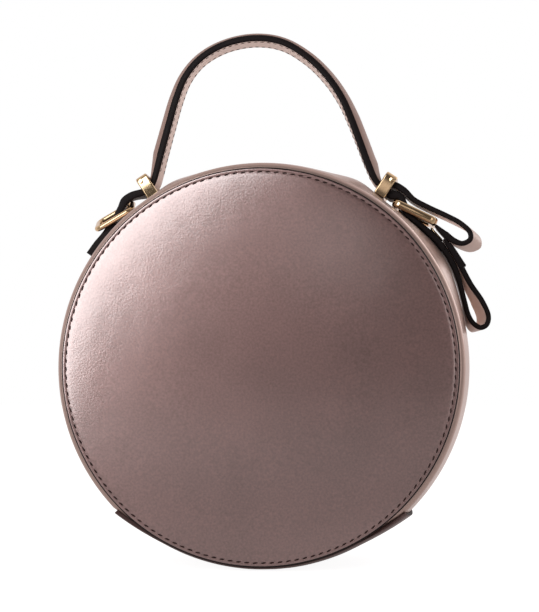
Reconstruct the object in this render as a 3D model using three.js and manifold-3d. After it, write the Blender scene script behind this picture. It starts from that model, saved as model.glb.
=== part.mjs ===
// A round leather handbag that stands on its flattened base, in millimetres, +Z up.
// The origin is the middle of the base's flat underside, and the front panel faces -Y.
// The bag is a hollow drum: two domed discs on a crowned hoop, with a base strip wrapped round below,
// a zip at the back of the hoop, and a strap handle held by two staple brackets.

import * as THREE from "three";
import { mergeVertices } from "three/addons/utils/BufferGeometryUtils.js";
import Module from "manifold-3d";

// Driving dimensions. Radii are measured from the middle of the discs, angles in degrees
// clockwise from the top as seen from the front.
const GAP = 0.3; // clearance between pieces that touch
const PANEL_RADIUS = 100;
const PANEL_WALL = 2.2;
const PANEL_DOME = 3.2; // rise of a disc's middle over its sewn edge
const PANEL_DOME_FALL = 0.8; // below 1 the disc stays full and drops close to its seam
const PANEL_SEAM_RADIUS = 97.7; // the sewn line, where the disc is pulled flat
const PANEL_SHARES = [0, 0.45, 0.75, 0.93, 1]; // rings of a disc, as shares of the seam radius
const HALF_DEPTH = 40; // middle of the bag to the outer face of a rim
const RIM_RADIUS = 102.9;
const RIM_ROLL = 3.5; // radius of the rolled edge
const RIM_FLANGE = 9; // how far a rim is turned in under its disc
const GUSSET_WALL = 2;
const GUSSET_CROWN = 3.2; // bulge of the hoop at mid-depth
const TENT = { angle: 25, spread: 6, height: 3 }; // the handle's pull lifts the hoop beside each bracket
const TAB_LIFT = { angle: 58, spread: 12, height: 3.2 }; // and the right-hand straps draw it out below theirs

const BASE_WALL = 1.6;
const BASE_SPREAD = 45; // the strip covers this angle on both sides of the bottom
const BASE_RIM_RADIUS = 101.6;
const BASE_FLARE_START = 28;
const BASE_FLARE = { left: 2.8, right: 3.3 }; // how far each end stands out
const BASE_FLARE_CURVE = 1.5; // above 1 the ends curl out late
const DISC_HEIGHT = 102.3; // middle of the discs above the flattened underside

const ZIP_DEPTH = 18; // the zip lies behind the handle
const ZIP_SPREAD = 75;
const ZIP_SLOT = 6.4;
const ZIP_CHAIN = 5.6;
const ZIP_TAPE = 14;
const ZIP_TAPE_WALL = 1;
const SLIDER = { angle: -68, length: 9, width: 8, height: 3, neck: 3 };
const SLIDER_PULL = { length: 20, width: 5, wall: 1.4, lap: 1 };

const STRAP_WIDTH = 16;
const STRAP_WALL = 3.1;
const HANDLE_WALL = 3;
const HANDLE_DOME = 2.7; // padding on the handle's outer face
const HANDLE_DOME_FALL = 0.7;
const HANDLE_TWIST = { x: -1.2, z: 0 };
const PADDED_ACROSS = [0, 0.18, 0.5, 0.82, 1]; // section points of a padded strap, as shares of its width
const FLAT_ACROSS = [0, 1];

const BRACKET = { angle: 33.5, foot: 107.1, top: 120.2, sill: 108.6, head: 117.8 };
const BRACKET_LENGTH = 6.4; // along the strap
const BRACKET_HALF_WIDTH = 11.5;
const BRACKET_HALF_WINDOW = 8.9;
const BRACKET_CORNER = 2.5;
const BRACKET_BEVEL = 0.5;
const PIN = { radius: 1.25, proud: 0.5, height: 117.6, aside: 1.2 };

const RING = { long: 24, wide: 25, bar: 3, corner: 5, lean: -17.5 }; // its rear side leans out
const BUCKLE = { long: 25.4, wide: 23.8, bar: 3.6, corner: 4.2, lean: 0 };
const PRONG = { radius: 0.6, tip: 0.42 };

const AROUND_STEP = 5; // degrees between stations of the hoop
const PANEL_SECTORS = 60;
const BAR_SIDES = 8;
const PIN_SIDES = 12;
const CORNER_STEPS = 4; // in each corner of a ring or buckle
const SPLINE_STEPS = 4; // stations between two rows of a strap table
const HANDLE_STEPS = 3;

// Strap tables: x and z from the middle of the discs on the front edge of the strap, the wall there,
// and how much of the strap's twist its rear edge has taken.
const HANDLE_ROWS = [
  { x: -61.6, z: 93.9, pad: 0, twist: 0 },
  { x: -59.6, z: 97.6, pad: 0.3, twist: 0 },
  { x: -55.4, z: 112.4, pad: 1, twist: 0.8 },
  { x: -51.4, z: 127.3, pad: 1, twist: 1 },
  { x: -47.2, z: 142, pad: 1, twist: 1 },
  { x: -42.4, z: 153.3, pad: 1, twist: 1 },
  { x: -34, z: 162.9, pad: 1, twist: 1 },
  { x: -21.5, z: 169.8, pad: 1, twist: 1 },
  { x: -6, z: 172.6, pad: 1, twist: 1 },
  { x: 8.2, z: 170.4, pad: 1, twist: 1 },
  { x: 21.5, z: 162.4, pad: 1, twist: 1 },
  { x: 32, z: 151.8, pad: 1, twist: 1 },
  { x: 39.3, z: 140.8, pad: 1, twist: 1 },
  { x: 43.9, z: 130.3, pad: 1, twist: 1 },
  { x: 48.4, z: 118.4, pad: 0.9, twist: 0.9 },
  { x: 53.2, z: 105.4, pad: 1, twist: 0.6 },
  { x: 57.4, z: 96.9, pad: 0.3, twist: 0 },
  { x: 60.8, z: 94, pad: 0, twist: 0 },
];
const TAB_LEFT_ROWS = [
  { x: -62.8, z: 92.7, wall: 3.1, twist: 0 },
  { x: -66.7, z: 91.5, wall: 3.1, twist: 0.2 },
  { x: -71.2, z: 90.2, wall: 3.3, twist: 0.6 },
  { x: -75, z: 87.6, wall: 3.8, twist: 1 },
  { x: -76.8, z: 83.8, wall: 3.8, twist: 1 },
  { x: -79.8, z: 78.4, wall: 3.4, twist: 0.6 },
  { x: -84.9, z: 69.3, wall: 5.2, twist: 0 },
  { x: -88.8, z: 64.2, wall: 5.8, twist: 0 },
  { x: -92.8, z: 58.5, wall: 6, twist: 0 },
];
const TAB_LEFT_TWIST = { x: -2.5, z: 4.4 };
const TAB_RIGHT_ROWS = [
  { x: 62.3, z: 91.7, wall: 3.4 },
  { x: 66, z: 90.7, wall: 3.4 },
  { x: 69.6, z: 88.9, wall: 3.2 },
  { x: 72.2, z: 85.4, wall: 2.9 },
  { x: 74.1, z: 79.4, wall: 2.9 },
  { x: 79.9, z: 74.5, wall: 2.9 },
  { x: 85.6, z: 69.4, wall: 2.9 },
  { x: 89.6, z: 65.1, wall: 2.9 },
  { x: 92.7, z: 61.1, wall: 2.9 },
];
const UPPER_LOOP_ROWS = [
  { x: 64, z: 95.5, twist: 0 },
  { x: 67.7, z: 94.9, twist: 0 },
  { x: 72.3, z: 92.1, twist: 0 },
  { x: 77, z: 87.4, twist: 0.1 },
  { x: 84.3, z: 83.4, twist: 0.35 },
  { x: 94.2, z: 78.7, twist: 0.7 },
  { x: 101.3, z: 74.8, twist: 0.9 },
  { x: 106.2, z: 69.9, twist: 1 },
  { x: 106.2, z: 66.3, twist: 1 },
  { x: 102.3, z: 64.3, twist: 0.9 },
  { x: 98.1, z: 65.6, twist: 0.7 },
  { x: 89.6, z: 72.5, twist: 0.2 },
];
const UPPER_LOOP_TWIST = { x: 5.5, z: -2.5 };
const LOWER_LOOP_ROWS = [
  { x: 93.2, z: 60.7, twist: 0 },
  { x: 95.1, z: 57.7, twist: 0 },
  { x: 98.5, z: 51, twist: 0 },
  { x: 101.2, z: 42.9, twist: 0 },
  { x: 103.6, z: 33.4, twist: 0 },
  { x: 105.5, z: 26.8, twist: 0.15 },
  { x: 108.1, z: 22.6, twist: 0.5 },
  { x: 112, z: 20.4, twist: 0.9 },
  { x: 115, z: 21.9, twist: 1 },
  { x: 116, z: 26.2, twist: 1 },
  { x: 112.8, z: 34, twist: 0.9 },
  { x: 106.8, z: 42.7, twist: 0.45 },
  { x: 102.7, z: 50.2, twist: 0 },
];
const LOWER_LOOP_TWIST = { x: -4.5, z: -1 };
const KEEPER_ROWS = [
  { x: 95.4, z: 63.6 },
  { x: 103.1, z: 52.1 },
];
const KEEPER_WALL = 3;
const RING_ENDS = [
  { x: -71.2, z: 86.2 },
  { x: -91.8, z: 74.2 },
];
const BUCKLE_ENDS = [
  { x: 67.5, z: 85.4 },
  { x: 87.9, z: 75.5 },
];
const PRONG_ENDS = [
  { x: 86.2, z: 73 },
  { x: 92.4, z: 66.2 },
];

const LEATHER = new THREE.MeshStandardMaterial({ color: 0x9c8482, roughness: 0.42, metalness: 0.45 });
const STRAP_LEATHER = new THREE.MeshStandardMaterial({ color: 0xc9b0a8, roughness: 0.45, metalness: 0.4 });
const BASE_LEATHER = new THREE.MeshStandardMaterial({ color: 0x6f5a56, roughness: 0.5, metalness: 0.35 });
const GOLD = new THREE.MeshStandardMaterial({ color: 0xd9b77e, roughness: 0.2, metalness: 1 });
const ZIP_TAPE_CLOTH = new THREE.MeshStandardMaterial({ color: 0x6a5450, roughness: 0.8, metalness: 0 });

const wasm = await Module();
wasm.setup();

const radians = THREE.MathUtils.degToRad;

// A point of the drum at an angle from the top, a radius and a depth.
function drumPoint(angle, radius, depth) {
  const turn = radians(angle);
  return new THREE.Vector3(radius * Math.sin(turn), depth, radius * Math.cos(turn));
}

// A triangle list as a geometry whose faces point out.
function geometryFacingOut(points, triangles) {
  const corner = new THREE.Vector3();
  let volume = 0;
  for (const [a, b, c] of triangles) {
    volume += points[a].dot(corner.crossVectors(points[b], points[c]));
  }
  const facing = volume < 0 ? triangles.map(([a, b, c]) => [a, c, b]) : triangles;
  return new THREE.BufferGeometry().setFromPoints(points).setIndex(facing.flat());
}

// A skin over a row of rings with equal numbers of points, closed on itself or capped at both ends.
// A ring lists its outer side forwards and then its inner side backwards.
// Facing quads of the two sides are split along the same diagonal, so nested walls keep their gap.
function loft(rings, closed) {
  const count = rings[0].length;
  const points = rings.flat();
  const triangles = [];
  const quad = (a, b, c, d) => triangles.push([a, b, c], [a, c, d]);
  const spans = closed ? rings.length : rings.length - 1;
  for (let i = 0; i < spans; i++) {
    const here = i * count;
    const next = ((i + 1) % rings.length) * count;
    for (let j = 0; j < count; j++) {
      const k = (j + 1) % count;
      if (j < count / 2) {
        quad(here + j, next + j, next + k, here + k);
      } else {
        quad(next + j, next + k, here + k, here + j);
      }
    }
  }
  if (!closed) {
    const last = (rings.length - 1) * count;
    for (let j = 0; j < count / 2 - 1; j++) {
      quad(j, j + 1, count - 2 - j, count - 1 - j);
      quad(last + count - 1 - j, last + count - 2 - j, last + j + 1, last + j);
    }
  }
  return geometryFacingOut(points, triangles);
}

// A geometry as a solid that can be joined and cut, and back again.
function toSolid(geometry) {
  const bare = geometry.clone();
  bare.deleteAttribute("normal");
  bare.deleteAttribute("uv");
  const merged = mergeVertices(bare);
  const vertProperties = new Float32Array(merged.attributes.position.array);
  const triVerts = new Uint32Array(merged.index.array);
  return new wasm.Manifold(new wasm.Mesh({ numProp: 3, vertProperties, triVerts }));
}

function toGeometry(solid) {
  const mesh = solid.getMesh();
  const geometry = new THREE.BufferGeometry();
  geometry.setAttribute("position", new THREE.BufferAttribute(mesh.vertProperties, mesh.numProp));
  return geometry.setIndex(new THREE.BufferAttribute(mesh.triVerts, 1));
}

// The hoop's section: depths of its wall points, and the turns of the points on the rolled edges.
const WALL_END = HALF_DEPTH - RIM_ROLL;
const WALL_DEPTHS = [-1, -0.74, -0.38, 0, 0.38, 0.74, 1].map((share) => share * WALL_END);
const ROLL_ANGLES = [0, 45];
const BASE_ROLL_ANGLES = [55, 75];

// A smooth rise about an angle, for leather that something pulls out.
function bump(at, { angle, spread, height }) {
  return height * Math.exp(-(((at - angle) / spread) ** 2));
}

function crownAt(angle, depth) {
  const fromTop = angle > 180 ? angle - 360 : angle;
  const tent = bump(Math.abs(fromTop), TENT) + bump(fromTop, TAB_LIFT);
  return (GUSSET_CROWN + tent) * (1 - (depth / WALL_END) ** 2);
}

// Outer radius of the base strip's wall, flattened where it stands.
function baseRadius(angle, depth) {
  const fromBottom = angle - 180;
  const flare = fromBottom > 0 ? BASE_FLARE.left : BASE_FLARE.right;
  const along = (Math.abs(fromBottom) - BASE_FLARE_START) / (BASE_SPREAD - BASE_FLARE_START);
  const rim = BASE_RIM_RADIUS + flare * THREE.MathUtils.clamp(along, 0, 1) ** BASE_FLARE_CURVE;
  return Math.min(rim + crownAt(angle, depth), DISC_HEIGHT / Math.cos(radians(fromBottom)));
}

// Outer radius of the hoop's wall, drawn in under the base strip.
function gussetRadius(angle, depth) {
  const free = RIM_RADIUS + crownAt(angle, depth);
  if (Math.abs(angle - 180) > BASE_SPREAD) {
    return free;
  }
  return Math.min(free, baseRadius(angle, depth) - BASE_WALL - GAP);
}

// One side of the section at an angle: wall points, with the rolled edge added at both ends.
// The roll has its middle on the hoop's rim; lift moves the line out from the hoop's own surface.
function sectionLine(angle, lift, rollAngles, radiusAt) {
  const rim = radiusAt(angle, WALL_END) - lift;
  const middle = rim - RIM_ROLL;
  const roll = RIM_ROLL + lift;
  const rolled = rollAngles.map((turn) => ({
    depth: WALL_END + roll * Math.cos(radians(turn)),
    radius: middle + roll * Math.sin(radians(turn)),
  }));
  const front = rolled.map(({ depth, radius }) => drumPoint(angle, radius, -depth));
  const back = rolled.map(({ depth, radius }) => drumPoint(angle, radius, depth)).reverse();
  const wall = WALL_DEPTHS.map((depth) => drumPoint(angle, radiusAt(angle, depth), depth));
  return [...front, ...wall, ...back];
}

function gussetRing(angle) {
  const outerAt = (turn, depth) => gussetRadius(turn, depth);
  const innerAt = (turn, depth) => gussetRadius(turn, depth) - GUSSET_WALL;
  const flange = gussetRadius(angle, WALL_END) - RIM_FLANGE;
  const outer = sectionLine(angle, 0, ROLL_ANGLES, outerAt);
  const inner = sectionLine(angle, -GUSSET_WALL, ROLL_ANGLES, innerAt);
  const lip = (depth) => drumPoint(angle, flange, depth);
  const innerLip = HALF_DEPTH - GUSSET_WALL;
  return [
    lip(-HALF_DEPTH),
    ...outer,
    lip(HALF_DEPTH),
    lip(innerLip),
    ...inner.reverse(),
    lip(-innerLip),
  ];
}

function angles(from, to) {
  const count = Math.round((to - from) / AROUND_STEP);
  return Array.from({ length: count + 1 }, (_, i) => from + ((to - from) * i) / count);
}

function gussetGeometry() {
  const hoop = loft(angles(0, 360 - AROUND_STEP).map(gussetRing), true);
  const slotRing = (angle) => {
    const low = RIM_RADIUS - 2 * GUSSET_WALL;
    const high = RIM_RADIUS + GUSSET_CROWN + 2 * TAB_LIFT.height;
    const front = ZIP_DEPTH - ZIP_SLOT / 2;
    const back = ZIP_DEPTH + ZIP_SLOT / 2;
    return [
      drumPoint(angle, high, front),
      drumPoint(angle, high, back),
      drumPoint(angle, low, back),
      drumPoint(angle, low, front),
    ];
  };
  const slot = loft(angles(-ZIP_SPREAD, ZIP_SPREAD).map(slotRing), false);
  return toGeometry(toSolid(hoop).subtract(toSolid(slot)));
}

function baseGeometry() {
  const ring = (angle) => {
    const outer = sectionLine(angle, BASE_WALL + GAP, BASE_ROLL_ANGLES, baseRadius);
    const innerAt = (turn, depth) => baseRadius(turn, depth) - BASE_WALL;
    const inner = sectionLine(angle, GAP, BASE_ROLL_ANGLES, innerAt);
    return [...outer, ...inner.reverse()];
  };
  return loft(angles(180 - BASE_SPREAD, 180 + BASE_SPREAD).map(ring), false);
}

// A domed disc as a closed profile turned about the bag's depth axis; side is -1 in front, 1 behind.
function panelGeometry(side) {
  const seat = HALF_DEPTH + GAP;
  const face = (lift) =>
    PANEL_SHARES.map((share) => {
      const rise = PANEL_DOME * (1 - share ** 2) ** PANEL_DOME_FALL;
      return new THREE.Vector2(share * PANEL_SEAM_RADIUS, side * (seat + lift + rise));
    });
  const edge = [PANEL_WALL, 0].map((lift) => new THREE.Vector2(PANEL_RADIUS, side * (seat + lift)));
  const profile = [...face(PANEL_WALL), ...edge, ...face(0).reverse()];
  return new THREE.LatheGeometry(side > 0 ? profile.reverse() : profile, PANEL_SECTORS);
}

// The zip: tape under the hoop's wall, the chain standing in the slot, and a slider with its pull.
function zipGeometry() {
  const chainShoulder = 0.3;
  const spread = ZIP_SPREAD - GAP;
  const ring = (angle) => {
    const under = (depth) => RIM_RADIUS + crownAt(angle, depth) - GUSSET_WALL - GAP;
    const at = (offset, radius) => drumPoint(angle, radius, ZIP_DEPTH + offset);
    const tapeTop = (offset) => at(offset, under(ZIP_DEPTH + offset));
    const tapeUnder = (offset) => at(offset, under(ZIP_DEPTH + offset) - ZIP_TAPE_WALL);
    const chainTop = (offset) => at(offset, under(ZIP_DEPTH + offset) + GUSSET_WALL);
    const tape = ZIP_TAPE / 2;
    const chain = ZIP_CHAIN / 2;
    const offsets = [-tape, -chain - chainShoulder, -chain, chain, chain + chainShoulder, tape];
    return [
      tapeTop(-tape),
      tapeTop(-chain),
      chainTop(-chain),
      chainTop(chain),
      tapeTop(chain),
      tapeTop(tape),
      ...offsets.map(tapeUnder).reverse(),
    ];
  };
  const band = loft(angles(-spread, spread).map(ring), false);
  const crest = RIM_RADIUS + crownAt(SLIDER.angle, ZIP_DEPTH);
  const box = (along, deep, high, place) => {
    const geometry = new THREE.BoxGeometry(along, deep, high).translate(...place);
    return toSolid(geometry.rotateY(radians(SLIDER.angle)));
  };
  const bodyLow = crest + 2 * GAP;
  const bodyMiddle = bodyLow + SLIDER.height / 2;
  const neckHigh = SLIDER.height + 2 * GUSSET_WALL;
  const body = box(SLIDER.length, SLIDER.width, SLIDER.height, [0, ZIP_DEPTH, bodyMiddle]);
  const neckMiddle = bodyLow - GUSSET_WALL / 2;
  const neck = box(SLIDER.length / 2, SLIDER.neck, neckHigh, [0, ZIP_DEPTH, neckMiddle]);
  const pullMiddle = SLIDER_PULL.lap - (SLIDER_PULL.length + SLIDER.length) / 2;
  const pullHigh = bodyLow + SLIDER.height - SLIDER_PULL.wall / 2;
  const pullPlace = [pullMiddle, ZIP_DEPTH, pullHigh];
  const pull = box(SLIDER_PULL.length, SLIDER_PULL.width, SLIDER_PULL.wall, pullPlace);
  return toGeometry(toSolid(band).add(neck).add(body).add(pull));
}

// Stations along a strap table, with every named column drawn through the rows.
function stations(rows, columns, steps) {
  const corners = rows.map(({ x, z }) => new THREE.Vector3(x, 0, z));
  const curve = new THREE.CatmullRomCurve3(corners, false, "centripetal");
  const spans = rows.length - 1;
  return Array.from({ length: spans * steps + 1 }, (_, i) => {
    const along = i / steps;
    const row = Math.min(Math.floor(along), spans - 1);
    const mix = (name) => THREE.MathUtils.lerp(rows[row][name], rows[row + 1][name], along - row);
    const values = Object.fromEntries(columns.map((name) => [name, mix(name)]));
    return { point: curve.getPoint(along / spans), ...values };
  });
}

// Directions square to a line of points in the XZ plane, to the left of the way it runs.
function leftNormals(points) {
  return points.map((_, i) => {
    const before = points[Math.max(i - 1, 0)];
    const after = points[Math.min(i + 1, points.length - 1)];
    const run = new THREE.Vector3().subVectors(after, before).normalize();
    return new THREE.Vector3(-run.z, 0, run.x);
  });
}

const NO_TWIST = { x: 0, z: 0 };

// A flat strap along a table. Its rear edge may be twisted aside, and its outer face padded.
function strapGeometry(rows, shape = {}) {
  const { wall = STRAP_WALL, twist = NO_TWIST, dome = 0, steps = SPLINE_STEPS } = shape;
  const columns = ["wall", "twist", "pad"].filter((name) => name in rows[0]);
  const line = stations(rows, columns, steps);
  const across = dome ? PADDED_ACROSS : FLAT_ACROSS;
  const edges = across.map((share) => {
    const points = line.map(({ point, twist: part = 0 }) => {
      const aside = new THREE.Vector3(twist.x, 0, twist.z).multiplyScalar(part * share);
      return point.clone().add(aside).setY((share - 0.5) * STRAP_WIDTH);
    });
    const rise = dome * Math.sin(Math.PI * share) ** HANDLE_DOME_FALL;
    return { points, normals: leftNormals(points), rise };
  });
  const rings = line.map(({ wall: here = wall, pad = 0 }, i) => {
    const outer = edges.map(({ points, normals, rise }) =>
      points[i].clone().addScaledVector(normals[i], here / 2 + rise * pad),
    );
    const inner = edges.map(({ points, normals }) =>
      points[i].clone().addScaledVector(normals[i], -here / 2),
    );
    return [...outer, ...inner.reverse()];
  });
  return loft(rings, false);
}

// A closed frame of bar lying between two end bars that run across the bag's depth, and may lean.
function frameGeometry({ long, wide, bar, corner, lean }, ends) {
  const [from, to] = ends.map(({ x, z }) => new THREE.Vector3(x, 0, z));
  const middle = from.clone().lerp(to, 0.5);
  const along = to.clone().sub(from).normalize();
  const across = new THREE.Vector3(0, 1, 0).applyAxisAngle(along, radians(lean));
  const up = new THREE.Vector3().crossVectors(across, along);
  const bend = corner - bar / 2;
  const quarterTurns = [0, 1, 2, 3];
  const rings = quarterTurns.flatMap((quarter) => {
    const signLong = quarter === 0 || quarter === 3 ? 1 : -1;
    const signWide = quarter < 2 ? 1 : -1;
    return Array.from({ length: CORNER_STEPS + 1 }, (_, i) => {
      const turn = (quarter + i / CORNER_STEPS) * (Math.PI / 2);
      const away = along.clone().multiplyScalar(Math.cos(turn)).addScaledVector(across, Math.sin(turn));
      const spot = middle.clone().addScaledVector(along, signLong * (long / 2 - corner));
      spot.addScaledVector(across, signWide * (wide / 2 - corner)).addScaledVector(away, bend);
      return Array.from({ length: BAR_SIDES }, (_, j) => {
        const round = ((j + 0.5) / BAR_SIDES) * 2 * Math.PI;
        const reach = bar / 2 / Math.cos(Math.PI / BAR_SIDES);
        const out = away.clone().multiplyScalar(Math.cos(round) * reach);
        return spot.clone().add(out).addScaledVector(up, Math.sin(round) * reach);
      });
    });
  });
  return loft(rings, true);
}

// A staple bracket: a rounded plate with a window, square to the strap, and a pin head on both faces.
function bracketGeometry(side) {
  const outline = new THREE.Shape();
  const half = BRACKET_HALF_WIDTH - BRACKET_BEVEL;
  const low = BRACKET.foot + BRACKET_BEVEL;
  const high = BRACKET.top - BRACKET_BEVEL;
  outline.moveTo(-half, low);
  outline.lineTo(half, low);
  outline.lineTo(half, high - BRACKET_CORNER);
  outline.absarc(half - BRACKET_CORNER, high - BRACKET_CORNER, BRACKET_CORNER, 0, Math.PI / 2);
  outline.absarc(-half + BRACKET_CORNER, high - BRACKET_CORNER, BRACKET_CORNER, Math.PI / 2, Math.PI);
  outline.closePath();
  const windowHalf = BRACKET_HALF_WINDOW + BRACKET_BEVEL;
  const sill = BRACKET.sill - BRACKET_BEVEL;
  const head = BRACKET.head + BRACKET_BEVEL;
  const hole = new THREE.Path();
  hole.moveTo(-windowHalf, sill);
  hole.lineTo(-windowHalf, head);
  hole.lineTo(windowHalf, head);
  hole.lineTo(windowHalf, sill);
  hole.closePath();
  outline.holes.push(hole);
  const depth = BRACKET_LENGTH - 2 * BRACKET_BEVEL;
  const plate = new THREE.ExtrudeGeometry(outline, {
    depth,
    bevelThickness: BRACKET_BEVEL,
    bevelSize: BRACKET_BEVEL,
    bevelSegments: 1,
    curveSegments: 3,
  });
  plate.translate(0, 0, -depth / 2);
  const turned = new THREE.Matrix4().makeBasis(
    new THREE.Vector3(0, 1, 0),
    new THREE.Vector3(0, 0, 1),
    new THREE.Vector3(1, 0, 0),
  );
  const staple = toSolid(plate.applyMatrix4(turned));
  const leg = BRACKET_HALF_WIDTH - BRACKET_HALF_WINDOW;
  const pins = [-1, 1].map((face) => {
    const pin = new THREE.CylinderGeometry(PIN.radius, PIN.radius, leg, PIN_SIDES);
    const reach = BRACKET_HALF_WIDTH + PIN.proud - leg / 2;
    return toSolid(pin.translate(side * PIN.aside, face * reach, PIN.height));
  });
  return toGeometry(staple.add(pins[0]).add(pins[1]));
}

// The buckle's tongue: a thin round bar with a tapered tip.
function prongGeometry() {
  const [from, to] = PRONG_ENDS.map(({ x, z }) => new THREE.Vector3(x, 0, z));
  const run = to.clone().sub(from);
  const geometry = new THREE.CylinderGeometry(PRONG.tip, PRONG.radius, run.length(), BAR_SIDES, 2);
  const barAxis = new THREE.Vector3(0, 1, 0);
  const turn = new THREE.Quaternion().setFromUnitVectors(barAxis, run.clone().normalize());
  geometry.applyQuaternion(turn);
  const middle = from.lerp(to, 0.5);
  return geometry.translate(middle.x, middle.y, middle.z);
}

const handbag = new THREE.Group();
const drum = new THREE.Group();
drum.position.z = DISC_HEIGHT;
handbag.add(drum);

function addPiece(name, geometry, material, parent = drum) {
  const mesh = new THREE.Mesh(geometry, material);
  mesh.name = name;
  parent.add(mesh);
  return mesh;
}

addPiece("front_panel", panelGeometry(-1), LEATHER);
addPiece("back_panel", panelGeometry(1), LEATHER);
addPiece("gusset", gussetGeometry(), LEATHER);
addPiece("zip_closure", zipGeometry(), ZIP_TAPE_CLOTH);
addPiece("base_panel", baseGeometry(), BASE_LEATHER);
const handleShape = { wall: HANDLE_WALL, twist: HANDLE_TWIST, dome: HANDLE_DOME, steps: HANDLE_STEPS };
addPiece("handle", strapGeometry(HANDLE_ROWS, handleShape), STRAP_LEATHER);

for (const [name, side] of [
  ["bracket_left", -1],
  ["bracket_right", 1],
]) {
  const turned = new THREE.Group();
  turned.rotation.y = side * radians(BRACKET.angle);
  drum.add(turned);
  addPiece(name, bracketGeometry(side), GOLD, turned);
}

addPiece("tab_left", strapGeometry(TAB_LEFT_ROWS, { twist: TAB_LEFT_TWIST }), STRAP_LEATHER);
addPiece("tab_right", strapGeometry(TAB_RIGHT_ROWS), STRAP_LEATHER);
addPiece("ring_left", frameGeometry(RING, RING_ENDS), GOLD);
addPiece("buckle_right", frameGeometry(BUCKLE, BUCKLE_ENDS), GOLD);
addPiece("buckle_prong", prongGeometry(), GOLD);
addPiece("strap_upper_loop", strapGeometry(UPPER_LOOP_ROWS, { twist: UPPER_LOOP_TWIST }), STRAP_LEATHER);
addPiece("strap_lower_loop", strapGeometry(LOWER_LOOP_ROWS, { twist: LOWER_LOOP_TWIST }), STRAP_LEATHER);
addPiece("strap_keeper", strapGeometry(KEEPER_ROWS, { wall: KEEPER_WALL }), STRAP_LEATHER);

export default handbag;
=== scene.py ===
# %% [markdown]
# # A round leather handbag
# The bag is a drum: two domed leather discs on a crowned hoop, with a strip wrapped round its base,
# a padded handle on two staple brackets, and a buckle strap folded into two loops at one side.
# Its solids are already drawn. This lesson dresses them: rolled rims, stitches, painted edges,
# metallic leather and pale gold. Each piece stays within a few millimetres of the solid it stands for.

# %% Load the drawn solids
import math

import bmesh
import bpy
import numpy as np
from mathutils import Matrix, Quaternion, Vector


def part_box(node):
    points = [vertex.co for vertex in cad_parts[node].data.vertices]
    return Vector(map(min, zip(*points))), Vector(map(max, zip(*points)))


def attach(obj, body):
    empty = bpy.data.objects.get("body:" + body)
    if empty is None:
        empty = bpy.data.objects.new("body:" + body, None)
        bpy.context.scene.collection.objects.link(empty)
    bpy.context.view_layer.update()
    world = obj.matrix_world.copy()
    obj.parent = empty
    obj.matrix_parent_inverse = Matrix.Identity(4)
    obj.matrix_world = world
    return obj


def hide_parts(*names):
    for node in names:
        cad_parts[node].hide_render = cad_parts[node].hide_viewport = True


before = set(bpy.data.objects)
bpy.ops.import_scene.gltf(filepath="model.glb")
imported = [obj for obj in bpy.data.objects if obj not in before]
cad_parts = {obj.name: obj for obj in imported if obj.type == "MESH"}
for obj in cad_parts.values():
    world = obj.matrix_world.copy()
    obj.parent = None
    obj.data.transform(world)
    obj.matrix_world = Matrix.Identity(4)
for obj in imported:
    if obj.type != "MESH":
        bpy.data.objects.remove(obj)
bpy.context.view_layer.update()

# %% [markdown]
# The camera comes first, because every later choice is judged through it. It stands a little to the
# bag's right, level with its middle, so a sliver of the hoop shows on the right. The bag sits off the
# middle of the picture, so the lens is shifted a little instead of turning the camera all the way.

# %% Camera
IMAGE_HEIGHT = 612
SENSOR = 36.0
FOCAL_PIXELS = 1447.6
CAMERA_PLACE = (0.07425, -0.76233, 0.10235)
CAMERA_TURN_LEFT = 0.0536
CAMERA_TILT_UP = 0.0208
CAMERA_SHIFT = (-0.1, 0.05)


def add_object(name, data):
    item = bpy.data.objects.new(name, data)
    bpy.context.scene.collection.objects.link(item)
    return item


camera = add_object("camera", bpy.data.cameras.new("camera"))
camera.data.sensor_width = SENSOR
camera.data.lens = FOCAL_PIXELS * SENSOR / IMAGE_HEIGHT
camera.data.shift_x, camera.data.shift_y = CAMERA_SHIFT
camera.location = CAMERA_PLACE
camera.rotation_euler = (math.pi / 2 + CAMERA_TILT_UP, 0, CAMERA_TURN_LEFT)
bpy.context.scene.camera = camera
print("camera lens:", round(camera.data.lens, 1), "mm")

# %% [markdown]
# Bag makers measure in millimetres from the middle of the disc, so the shapes below do too. One
# helper turns such points into a mesh in metres, at the height where the drum stands. The mesh keeps
# its place in its points, faces are turned outwards, and edges sharper than a crease stay sharp.

# %% Sizes read from the solids, and the mesh helper
MM = 0.001
panel_low, panel_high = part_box("front_panel")
DISC_HEIGHT = (panel_low.z + panel_high.z) / 2 / MM
PANEL_RADIUS = (panel_high.x - panel_low.x) / 2 / MM
PANEL_SEAT = -panel_high.y / MM
CREASE = math.radians(38)


def in_metres(points):
    return ((np.asarray(points) + (0, 0, DISC_HEIGHT)) * MM).tolist()


def make_piece(name, points, faces, materials, face_slots=None):
    mesh = bpy.data.meshes.new(name)
    mesh.from_pydata(in_metres(points), [], faces)
    for material in materials:
        mesh.materials.append(material)
    if face_slots is not None:
        mesh.polygons.foreach_set("material_index", face_slots)
    shell = bmesh.new()
    shell.from_mesh(mesh)
    bmesh.ops.recalc_face_normals(shell, faces=shell.faces)
    shell.to_mesh(mesh)
    shell.free()
    mesh.polygons.foreach_set("use_smooth", [True] * len(mesh.polygons))
    mesh.set_sharp_from_angle(angle=CREASE)
    return add_object(name, mesh)


def band(low, high, count):
    """Faces between two rings of points, which start at low and at high."""
    return [(low + j, high + j, high + (j + 1) % count, low + (j + 1) % count) for j in range(count)]


def drum_point(angle, radius, depth):
    turn = math.radians(angle)
    return (radius * math.sin(turn), depth, radius * math.cos(turn))


def settle(piece, slot, *nodes):
    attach(piece, "root")
    if nodes:
        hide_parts(*nodes)
    print(piece.name, "faces:", len(piece.data.polygons))
    return piece


print("disc middle at", round(DISC_HEIGHT, 1), "mm, panel radius", round(PANEL_RADIUS, 1), "mm")

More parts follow.
